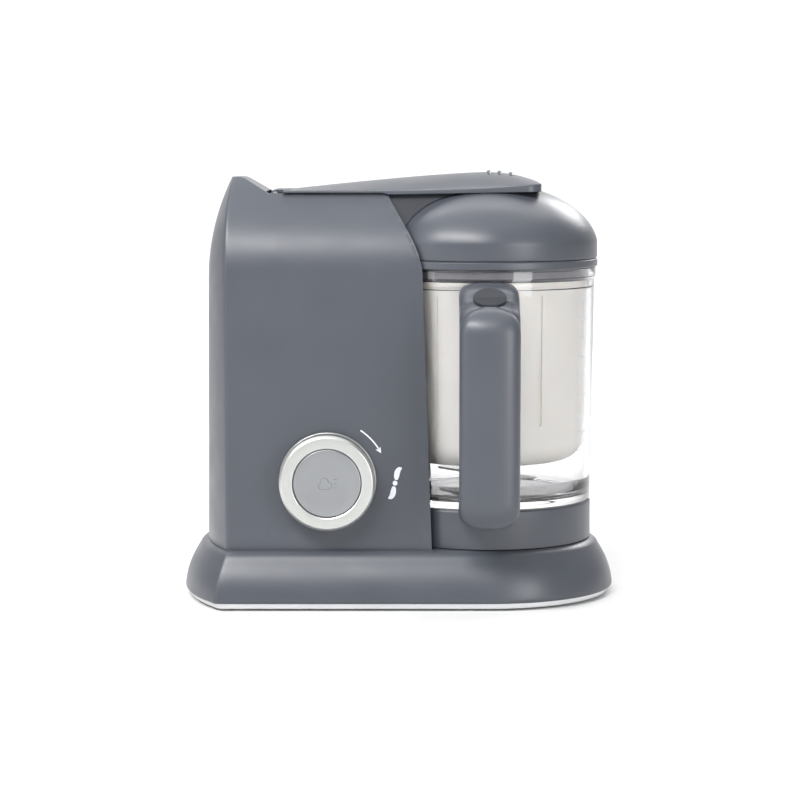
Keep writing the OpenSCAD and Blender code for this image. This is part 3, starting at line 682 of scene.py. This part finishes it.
def build_bowl():
    low, rim = FOOT_HIGH.z, GLASS_HIGH.z
    floor = low + 3.5
    bore = 6.0
    bend = 70.0         # the inner face turns in to the floor below this height
    ledge = NECK_Z - 5
    lip_r = NECK_R + 0.8
    mouth_r = NECK_R - 2.4
    profile = rounded([
        (bore, low, 0.4), (wall_r(low), low, 1.0), (wall_r(low + 3), low + 3, 3),
        (NECK_R, NECK_Z - 0.4, 1.5), (lip_r, NECK_Z + 0.8, 0.8), (lip_r, rim, 0.6),
        (mouth_r, rim, 0.6), (mouth_r, ledge, 0.5), (NECK_R - CLEAR_WALL, ledge, 0.5),
        (wall_r(bend) - CLEAR_WALL, bend, 8), (wall_r(bend - 6) - CLEAR_WALL - 2, floor, 9),
        (bore + 4, floor, 1.5), (bore + 2.6, CHIMNEY_TOP, 0.8), (bore, CHIMNEY_TOP, 0.5),
    ], steps=6)
    piece("bowl_wall", lathe(profile), "bowl", glass_mat, ["bowl_glass", "bowl_chimney"],
          sharp=50)
    lining = rounded([
        (FOOT_OPEN_R + 0.5, low - 0.6, 0.1), (LINING_R, low - 0.6, 0.1),
        (LINING_R, low - 0.05, 0.1), (FOOT_OPEN_R + 0.5, low - 0.05, 0.1),
    ])
    piece("bowl_floor_lining", lathe(lining, 128), "bowl", lining_mat)


def build_foot():
    low, top = FOOT_LOW.z, FOOT_HIGH.z
    inner = FOOT_R - 4.8
    profile = rounded([
        (inner, low, 0.4), (FOOT_R, low, 0.5), (FOOT_R, top - 1.4, 0.6), (FOOT_R - 0.9, top - 0.1, 0.3),
        (FOOT_R - 1.2, top - 0.7, 0.1), (FOOT_OPEN_R, top - 0.7, 0.2), (FOOT_OPEN_R, top - 3, 0.4),
        (inner, top - 3, 1.5),
    ])
    piece("bowl_foot_ring", lathe(profile), "bowl", shell_mat, ["bowl_foot"])


def build_scale_marks():
    """Fine level lines printed up the right side of the clear wall, every other one longer."""
    count, lowest, spacing = 9, 88, 11
    first_angle = -34
    half, lift = 0.25, 0.08
    parts = []
    for k in range(count):
        z = lowest + spacing * k
        r = wall_r(z)
        line = arc_points(0, 0, 1, first_angle, first_angle + (9 if k % 2 else 5), 6)
        section = ((r, z - half), (r + lift, z - half), (r + lift, z + half), (r, z + half))
        parts.append(capped([
            [(BOWL.x + x * out, BOWL.y + y * out, height) for out, height in section] for x, y in line
        ]))
    piece("bowl_scale_marks", joined(parts), "bowl", print_mat)


def build_basket():
    low, high = mm_box("steam_basket")
    rim_r = half_width("steam_basket")
    wall, corner, rim_t = 1.6, 14, 3
    r = rim_r - 1.4
    bottom_r = r - 1.8
    profile = rounded([
        (0, low.z, 0), (bottom_r, low.z, corner), (r, high.z - rim_t, 0), (rim_r, high.z - rim_t, 0.4),
        (rim_r, high.z, 0.6), (r - wall, high.z, 0.5), (bottom_r - wall, low.z + wall, corner - wall),
        (0, low.z + wall, 0),
    ], steps=8)
    parts = [lathe(profile, 144)]
    # fine upright ribs
    count, foot, top = 6, low.z + 24, high.z - 6.5
    section = ((-0.35, -0.6), (-0.2, 0.15), (0.2, 0.15), (0.35, -0.6))
    for k in range(count):
        a = math.radians(360 * k / count - 60)
        outward = Vector((math.cos(a), math.sin(a), 0))
        side = Vector((-math.sin(a), math.cos(a), 0))
        rings = []
        for z, reach in ((foot, r - 1.2), (foot + 2, r + 0.2), (top - 3, r + 0.45), (top, r - 0.4)):
            here = Vector((BOWL.x, BOWL.y, z)) + outward * reach
            rings.append([tuple(here + side * u + outward * v) for u, v in section])
        parts.append(capped(rings))
    piece("steam_basket_moulding", joined(parts), "bowl", basket_mat, ["steam_basket"])


# ---------- handle ----------

HANDLE_R = BOWL.y - mm_box("handle")[0].y - 0.1     # reach of the grip from the bowl's axis
HANDLE_HALF = 17.1
HANDLE_TURN = math.radians(0.8)                     # the handle stands this far past straight ahead
GRIP_LOW, GRIP_FOOT, GRIP_SHOULDER, GRIP_TOP = 50.4, 67.0, 158.0, 176.2
GRIP_HALF_DEPTH = 8.8
SECTION_POINTS = 40


def handle_section(r, z, tilt, front, back, half, power):
    """One closed section of the handle, across its line at (r, z). tilt is the direction of the
    section's outer side above straight ahead; front and back are its half thicknesses."""
    out = Vector((math.cos(tilt), math.sin(tilt)))
    ring = []
    for k in range(SECTION_POINTS):
        a = 2 * math.pi * k / SECTION_POINTS
        c, s = math.cos(a), math.sin(a)
        u = math.copysign(abs(s) ** (2 / power), s) * half
        v = math.copysign(abs(c) ** (2 / power), c)
        v *= front if v > 0 else back
        ring.append((r + out.x * v, u, z + out.y * v))
    return ring


def through(a, b, c, d, t):
    """A smooth value between b, at t = 0, and c, at t = 1, with a before them and d after."""
    square = (2 * a - 5 * b + 4 * c - d) * t ** 2
    cube = (3 * b - a - 3 * c + d) * t ** 3
    return 0.5 * (2 * b + (c - a) * t + square + cube)


def grip_rings():
    """The upright grip: level sections with a domed top that stands proud of the saddle behind it."""
    foot, shoulder = GRIP_FOOT - GRIP_LOW, GRIP_TOP - GRIP_SHOULDER
    levels = [GRIP_LOW + foot * (1 - math.cos(math.pi / 2 * i / 12)) for i in range(12)]
    levels += [GRIP_FOOT + (GRIP_SHOULDER - GRIP_FOOT) * i / 8 for i in range(9)]
    levels += [GRIP_SHOULDER + shoulder * math.sin(math.pi / 2 * i / 16) for i in range(1, 17)]
    rings = []
    for z in levels:
        up = max(0.0, (z - GRIP_SHOULDER) / shoulder)
        down = max(0.0, (GRIP_FOOT - z) / foot)
        half = HANDLE_HALF * max(0.05, 1 - up ** 3.2) ** 0.5 * max(0.05, 1 - down ** 3.4) ** 0.5
        depth = GRIP_HALF_DEPTH * max(0.05, 1 - up ** 3) ** 0.5 * max(0.05, 1 - down ** 2.6) ** 0.5
        r = HANDLE_R - GRIP_HALF_DEPTH - 4.5 * up ** 2 - 4.0 * down ** 2
        rings.append([(x, y, z) for x, y, _ in handle_section(r, z, 0, depth, depth, half, 2.55)])
    return rings


def saddle_rings():
    """The curved arm behind the grip, from its upper root to its lower root on the bowl. Each row is
    reach, height, tilt in degrees, front and back half thickness, half width and squareness."""
    r = HANDLE_R - 9.6
    half = HANDLE_HALF
    rows = [
        (60.6, 177.4, 90, 10.4, 10.2, half, 3.4),
        (67.6, 177.2, 86, 10.2, 10.2, half, 3.4),
        (74.4, 175.6, 70, 9.8, 9.6, half, 3.2),
        (80.4, 171.4, 62, 9.4, 8.6, half, 3.0),
        (87.4, 169.2, 62, 9.2, 8.2, half, 2.8),
        (92.0, 166.8, 54, 9.0, 8.0, half, 2.9),
        (95.0, 160.8, 24, 8.4, 8.2, half, 2.8),
        (97.4, 154.0, 8, 7.8, 8.6, half - 0.1, 2.7),
        (r, 144.0, 0, 7.4, 8.0, half - 0.6, 2.6),
        (r, 110.0, 0, 7.4, 8.0, half - 0.6, 2.7),
        (r, 82.0, 0, 7.4, 8.0, half - 0.6, 2.6),
        (96.8, 74.0, -10, 7.4, 8.6, half - 0.8, 2.5),
        (92.4, 67.0, -34, 7.6, 8.0, half - 1.2, 2.6),
        (86.4, 61.8, -62, 7.6, 8.4, half - 1.6, 2.8),
        (78.4, 59.6, -80, 8.0, 9.4, half - 1.2, 3.0),
        (67.0, 57.4, -88, 8.6, 10.0, half, 3.2),
        (60.6, 57.4, -90, 8.6, 10.4, half, 3.2),
    ]
    fine = 5
    last = len(rows) - 1
    rings = []
    for step in range(last * fine + 1):
        i = min(step // fine, last - 1)
        around = [rows[min(max(i + d, 0), last)] for d in (-1, 0, 1, 2)]
        r, z, tilt, *size = (through(*values, step / fine - i) for values in zip(*around))
        rings.append(handle_section(r, z, math.radians(tilt), *size))
    return rings


def build_handle():
    turn = Matrix.Rotation(-math.pi / 2 - HANDLE_TURN, 3, "Z")
    axis = Vector((BOWL.x, BOWL.y, 0))
    parts = (("handle_saddle", saddle_rings(), ["handle"]), ("handle_grip", grip_rings(), []))
    for name, rings, nodes in parts:
        verts, faces = capped(rings)
        placed = [tuple(turn @ Vector(v) + axis) for v in verts]
        piece(name, (placed, faces), "bowl", shell_mat, nodes)


# ---------- lid ----------

DOME_Z = 204.3          # height of the dome's widest circle
DOME_R = 65.8
DOME_RISE = 39.2
LID_WALL = 2.4
LID_SPOUT_Z = 235.6     # underside of the stub round the steam opening
LID_SKIRT_R = 60.0      # outside radius of the collar that stands in the bowl's mouth
LID_SKIRT_BORE = 57.4


def dome_line(shrink, first, last, steps, flat):
    """Outline of the dome, (radius, height), cut off at its flat."""
    points = arc_points(0, 0, 1, first, last, steps)
    return [((DOME_R - shrink) * x, min(flat, DOME_Z + (DOME_RISE - shrink) * z)) for x, z in points]


def build_lid():
    top = mm_box("lid_dome")[1].z
    seam = mm_box("lid_ring")[1].z
    outer = dome_line(0, 8.6, 84, 44, top - 0.03)
    inner = dome_line(LID_WALL, 82, 8, 30, top - LID_WALL)
    profile = [
        (LID_R - LID_WALL - 0.2, seam), (LID_R - 0.7, seam), (LID_R - 0.35, seam + 0.12),
        (LID_R - 0.1, seam + 0.5), (LID_R, seam + 1.0), (LID_R, DOME_Z + 3.7), (LID_R, DOME_Z + 5.1),
        *outer, (5, top - 0.03), (5, LID_SPOUT_Z), (8, LID_SPOUT_Z), (8, top - LID_WALL), *inner,
    ]
    piece("lid_dome_moulding", lathe(profile), "lid", shell_mat, ["lid_dome"], sharp=40)


def build_lid_ring():
    seam = mm_box("lid_ring")[1].z
    low = GLASS_HIGH.z + 0.3
    skirt_z = mm_box("lid_ring")[0].z
    r = LID_R + 0.2
    profile = rounded([
        (LID_SKIRT_BORE, skirt_z, 0.5), (LID_SKIRT_R, skirt_z, 0.5), (LID_SKIRT_R, low, 0.2),
        (r - 0.5, low, 0.1), (r, low + 0.7, 0.5), (r, seam - 0.9, 0.3), (r - 0.9, seam - 0.25, 0.3),
        (r - 1.2, seam, 0.1), (LID_SKIRT_BORE, seam, 0.5),
    ], steps=4)
    piece("lid_ring_moulding", lathe(profile), "lid", shell_mat, ["lid_ring"])


# ---------- lever ----------

LEVER_HALF = 35.0
LEVER_START = PIN.x + 4.6
LEVER_STEP_X = -7.5     # where the skirt steps down beside the tower
LEVER_WALL = 2.0
RIDGE_Z = 249.7         # height of the ridge at its highest
RIDGE_X = 50.0          # and where that is
RIDGE_FALL = 10.7       # its fall over RIDGE_RUN towards the hinge
RIDGE_RUN = 121.0
FINGER_RIDGES_X = (53, 59.3, 66)
SIDE_POINTS = 44
HINGE_HALF = 26.8       # half length of the barrel round the hinge pin


def lever_ridge(x):
    if x < RIDGE_X:
        return RIDGE_Z - RIDGE_FALL * ((RIDGE_X - x) / RIDGE_RUN) ** 1.3
    return RIDGE_Z - 6 * ((x - RIDGE_X) / (LEVER_HIGH.x - RIDGE_X)) ** 2.3


def lever_crease(x):
    return RIM_Z + 1.7 + 4 * (max(0.0, x - PIN.x) / (LEVER_HIGH.x - PIN.x)) ** 4


def lever_skirt(x, y):
    """Lower edge: level over the tower, a step down beside it, then rising, with an arch over
    the dome."""
    over_tower = min(1.0, max(0.0, (LEVER_STEP_X + 0.6 - x) / 1.2))
    beside = RIM_Z - 0.7 + 1.6 * (x - LEVER_STEP_X) / (LEVER_HIGH.x - LEVER_STEP_X)
    arch = 1.3 * max(0.0, 1 - (y / 22) ** 2) * min(1.0, max(0.0, (x - 70) / 8))
    return (RIM_Z + 0.3) * over_tower + (beside + arch) * (1 - over_tower)


def lever_top(x, y):
    """Height of the crowned top."""
    edge = lever_crease(x)
    return edge + (lever_ridge(x) - edge) * (1 - (y / LEVER_HALF) ** 2)


def lever_outline(inset):
    """Plan of the lever drawn in by inset, as points with a fixed count."""
    half = max(LEVER_HALF - inset, 0.4)
    left = LEVER_START + inset * 0.4
    right = LEVER_HIGH.x - inset
    corner = min(max(9 - inset * 0.35, 0.5), half * 0.95)
    turn_x, turn_y = right - corner, half - corner
    points = [(left + (turn_x - left) * i / SIDE_POINTS, -half) for i in range(SIDE_POINTS)]
    points += arc_points(turn_x, -turn_y, corner, -90, 0, 8)
    points += [(right, turn_y * (i / 5 - 1)) for i in range(1, 10)]
    points += arc_points(turn_x, turn_y, corner, 0, 90, 8)
    points += [(turn_x - (turn_x - left) * i / SIDE_POINTS, half) for i in range(1, SIDE_POINTS + 1)]
    points += [(left, half * (1 - i / 5)) for i in range(1, 10)]
    return points


def lever_ring(inset, height):
    """The outline drawn in by inset, each point at the height that height(x, y) gives."""
    return [(x, y + PLANE_Y, height(x, y)) for x, y in lever_outline(inset)]


def lever_shell():
    """The lever's crowned skin and its underside."""
    outer = [lever_ring(inset, lever_skirt) for inset in (LEVER_WALL, 0.3)]
    outer.append(lever_ring(0, lambda x, y: lever_skirt(x, y) + 0.25))
    for inset, drop in ((0, 0.5), (0.12, 0.2), (0.45, 0.0)):
        outer.append(lever_ring(inset, lambda x, y, d=drop: lever_crease(x) - d + 0.02))
    outer += [lever_ring(inset, lever_top) for inset in (1.5, 3, *range(5, 33, 3), 34.2)]

    def ceiling(x, y):
        return max(lever_top(x, y) - LEVER_WALL, lever_skirt(x, y) + 0.05)

    def edge(x, y):
        return max(lever_crease(x) - LEVER_WALL, lever_skirt(x, y) + 0.03)
    inner = [lever_ring(inset, ceiling) for inset in (34.2, 30, 24, 18, 12, 6, LEVER_WALL + 0.6)]
    return hollow(outer, inner + [lever_ring(LEVER_WALL, edge)])


def hinge_barrel():
    """A sleeve round the hinge pin, between the tower's two cheeks."""
    outer, inner = 2.6, 1.55
    profile = rounded([
        (inner, -HINGE_HALF, 0.1), (outer, -HINGE_HALF, 0.5),
        (outer, HINGE_HALF, 0.5), (inner, HINGE_HALF, 0.1),
    ])
    verts, faces = loft(turned_rings(profile, 40), closed_path=True)
    return [(PIN.x + x, PIN.y + z, PIN.z + y) for x, y, z in verts], faces


def hinge_web():
    """The plate that joins the barrel to the shell."""
    section = ((0.4, 0.9), (9, 0.9), (9, 2.5), (0.4, 2.5))
    return capped([
        [(PIN.x + x, PLANE_Y + y, PIN.z + z) for x, z in section] for y in (-HINGE_HALF, HINGE_HALF)
    ])


def build_lever():
    shape = joined([lever_shell(), hinge_barrel(), hinge_web()])
    piece("lever_moulding", shape, "lever", shell_mat, ["lever_cover"], sharp=30)


def build_finger_ridges():
    half, steps = 13, 16
    parts = []
    for x in FINGER_RIDGES_X:
        path = [(x, PLANE_Y + y, lever_top(x, y) - 0.1)
                for y in (half * (2 * i / steps - 1) for i in range(steps + 1))]
        radius = [1.35 * min(1.0, 0.35 + min(i, steps - i) * 0.33) for i in range(steps + 1)]
        parts.append(tube(path, radius, 12))
    piece("lever_finger_ridges", joined(parts), "lever", shell_mat)


# ---------- controls ----------

def build_knob():
    front, back = KNOB_LOW.y, KNOB_HIGH.y
    r = half_width("knob_ring")
    hole, seat = 19.8, front + 8.8
    profile = rounded([
        (hole, front + 0.5, 0.3), (hole + 0.7, front, 0.4), (r - 1.6, front, 0.9), (r, front + 1.6, 1.2),
        (r, back - 0.8, 0.5), (r - 0.8, back, 0.4), (6, back, 0.3), (6, seat, 0.3), (hole, seat, 0.6),
    ])
    piece("knob_turned_ring", lathe_forward(profile), "knob", knob_mat, ["knob_ring"])
    low, high = mm_box("knob_skirt")
    front = low.y + 0.2
    profile = rounded([
        (8, front, 0.1), (r + 0.2, front, 0.3), (r + 0.7, high.y, 0.4), (8, high.y, 0.1),
    ], steps=4)
    piece("knob_back_skirt", lathe_forward(profile), "knob", knob_mat, ["knob_skirt"])


def build_button():
    low, high = mm_box("steam_button")
    r = half_width("steam_button")
    front, back = low.y, low.y + 2.6
    profile = rounded([
        (0, front + 0.25, 0), (r * 0.7, front + 0.1, 8), (r - 0.5, front, 0.4), (r, front + 0.5, 0.4),
        (r, back, 0.3), (4, back, 0.3), (4, high.y, 0.3), (0, high.y, 0),
    ])
    piece("button_disc", lathe_forward(profile, 128), "button", button_mat,
          ["steam_button"])


def build_steam_mark():
    """A small cloud outline with three short lines beside it, a plain sign for steam."""
    line_r, y = 0.26, mm_box("steam_button")[0].y + 0.13
    cloud = arc_points(-1.9, -1.5, 2.0, 270, 110, 10)
    cloud += arc_points(-0.6, 1.0, 2.2, 190, 10, 10)
    cloud += arc_points(1.6, -1.2, 2.1, 70, -90, 10)
    cloud.append(cloud[0])
    parts = [tube([(KNOB.x - 1.0 + x, y, KNOB.z + z) for x, z in cloud], line_r, 8)]
    for drop in (-2.4, 0, 2.4):
        parts.append(tube([(KNOB.x + x, y, KNOB.z + drop) for x in (3.9, 4.8, 5.6)], line_r, 8))
    piece("button_steam_mark", joined(parts), "button", dark_print_mat)


def printed(outline):
    """A thin printed patch that follows the tower's front face. outline is (x, z) offsets from
    the knob's axis."""
    sunk, lift = 0.02, 0.10
    return capped([
        [(KNOB.x + x, PLANE_Y - tower_half(KNOB.z + z) + depth, KNOB.z + z) for x, z in outline]
        for depth in (sunk, -lift)
    ])


def turning_arrow():
    """An arc beside the knob with an arrow head at its lower end."""
    r, half = 34.6, 0.4
    first, last = 56.8, 32
    band = arc_points(0, 0, r + half, first, last, 16) + arc_points(0, 0, r - half, last, first, 16)
    tip = Vector(arc_points(0, 0, r, 27.2, 27.2, 1)[0])
    heading = math.radians(31)
    along = Vector((math.sin(heading), -math.cos(heading)))
    side = Vector((-along.y, along.x))
    tail = tip - along * 3.4
    head = [tip, tail + side * 1.7, tip - along * 2.6, tail - side * 1.7]
    return [printed(band), printed([tuple(p) for p in head])]


def blade_sign():
    """Two blades and their hub: the sign for blending."""
    hub = Vector((38.8, -1.5))
    hub_r, blade_length = 1.4, 9.7
    lean = math.radians(15.8)
    up = Vector((math.sin(lean), math.cos(lean)))
    across = Vector((up.y, -up.x))
    # (share of the blade's length, distance from its line) down one edge and back up the other
    edge = [(0.20, -0.88), (0.45, -1.93), (0.75, -2.05), (1.0, -0.6)]
    edge += [(1.0, 1.8), (0.8, 1.0), (0.5, 1.2), (0.20, 1.0)]
    parts = []
    for sign in (1, -1):
        blade = [hub + (up * blade_length * t + across * w) * sign for t, w in edge]
        parts.append(printed([tuple(p) for p in smooth_outline(blade)]))
    parts.append(printed(arc_points(hub.x, hub.y, hub_r, 0, 345, 23)))
    return parts


def build_prints():
    piece("front_printed_signs", joined(turning_arrow() + blade_sign()), "root", print_mat)


def smooth_outline(points, rounds=2):
    """Corner cutting, to soften a drawn outline."""
    points = [Vector(p) for p in points]
    for _ in range(rounds):
        cut = []
        for i, p in enumerate(points):
            q = points[(i + 1) % len(points)]
            cut += [p.lerp(q, 0.22), p.lerp(q, 0.78)]
        points = cut
    return points


# ---------- stage, in metres ----------

CAMERA_BACK = 1.492     # from the camera to the bowl's middle plane
CAMERA_SIDE = 0.00055
CAMERA_HEIGHT = 0.2682
LOOK_HEIGHT = 0.1142
LENS = 113.175


def add_area(name, place, target, size, power):
    light = bpy.data.lights.new(name, "AREA")
    light.shape = "RECTANGLE"
    light.size, light.size_y = size
    light.energy = power
    obj = bpy.data.objects.new(name, light)
    obj.location = place
    obj.rotation_euler = (Vector(target) - Vector(place)).to_track_quat("-Z", "Y").to_euler()
    bpy.context.scene.collection.objects.link(obj)


def build_floor():
    """A pale floor that sweeps up into a backdrop."""
    front, half_length, bend, back, height = -4.0, 4.0, 1.2, 2.6, 3.6
    line = [(front, 0.0)] + arc_points(back - bend, bend, bend, -90, 0, 24) + [(back, height)]
    verts = [(x, y, z) for y, z in line for x in (-half_length, half_length)]
    faces = [(i, i + 1, i + 3, i + 2) for i in range(0, len(verts) - 2, 2)]
    mesh = bpy.data.meshes.new("floor")
    mesh.from_pydata(verts, [], faces)
    mesh.shade_smooth()
    floor = bpy.data.objects.new("floor", mesh)
    bpy.context.scene.collection.objects.link(floor)
    material, nodes, links, shader = new_material("pale_floor")
    coords = nodes.new("ShaderNodeTexCoord").outputs["Object"]
    cloud = ranged(nodes, links, noise(nodes, links, coords, 3), 0, 1)
    pale = tinted(nodes, links, cloud, (0.68, 0.68, 0.68), (0.70, 0.70, 0.70))
    links.new(pale, shader.inputs["Base Color"])
    shader.inputs["Roughness"].default_value = 0.8
    shader.inputs["Specular IOR Level"].default_value = 0.2
    mesh.materials.append(material)


def build_lights():
    """Soft light from large areas, and a pale surround."""
    world = bpy.data.worlds.new("studio")
    bpy.context.scene.world = world
    world.use_nodes = True
    world.node_tree.nodes["Background"].inputs["Color"].default_value = (1, 1, 1, 1)
    world.node_tree.nodes["Background"].inputs["Strength"].default_value = 0.38
    aim = (0, PLANE_Y * MM, 0.13)
    add_area("overhead", (0, 0.2, 1.7), (0, 0.2, 0), (2.2, 2.2), 14)
    add_area("key_front", (-0.6, -0.9, 1.15), aim, (1.3, 0.35), 29)
    add_area("right_back", (0.72, 1.1, 0.9), aim, (0.6, 0.45), 8)
    add_area("strip_left", (-1.05, -0.55, 0.45), aim, (0.25, 0.8), 2)
    add_area("fill_right", (0.85, -1.1, 0.35), aim, (0.5, 0.7), 7.5)
    add_area("backdrop", (0, 0.9, 2.3), (0, 2.6, 0.8), (3.0, 0.5), 58)


def build_camera():
    camera_data = bpy.data.cameras.new("camera")
    camera_data.lens = LENS
    camera_data.sensor_width = 36
    camera = bpy.data.objects.new("camera", camera_data)
    bpy.context.scene.collection.objects.link(camera)
    camera.location = (CAMERA_SIDE, PLANE_Y * MM - CAMERA_BACK, CAMERA_HEIGHT)
    look = Vector((0, CAMERA_BACK, LOOK_HEIGHT - CAMERA_HEIGHT))
    camera.rotation_euler = look.to_track_quat("-Z", "Y").to_euler()
    bpy.context.scene.camera = camera
    bpy.context.scene.view_settings.view_transform = "Standard"


build_floor()
build_lights()
build_camera()
build_base()
build_bottom_plate()
build_tower()
build_bowl()
build_foot()
build_scale_marks()
build_basket()
build_handle()
build_lid()
build_lid_ring()
build_lever()
build_finger_ridges()
build_knob()
build_button()
build_steam_mark()
build_prints()
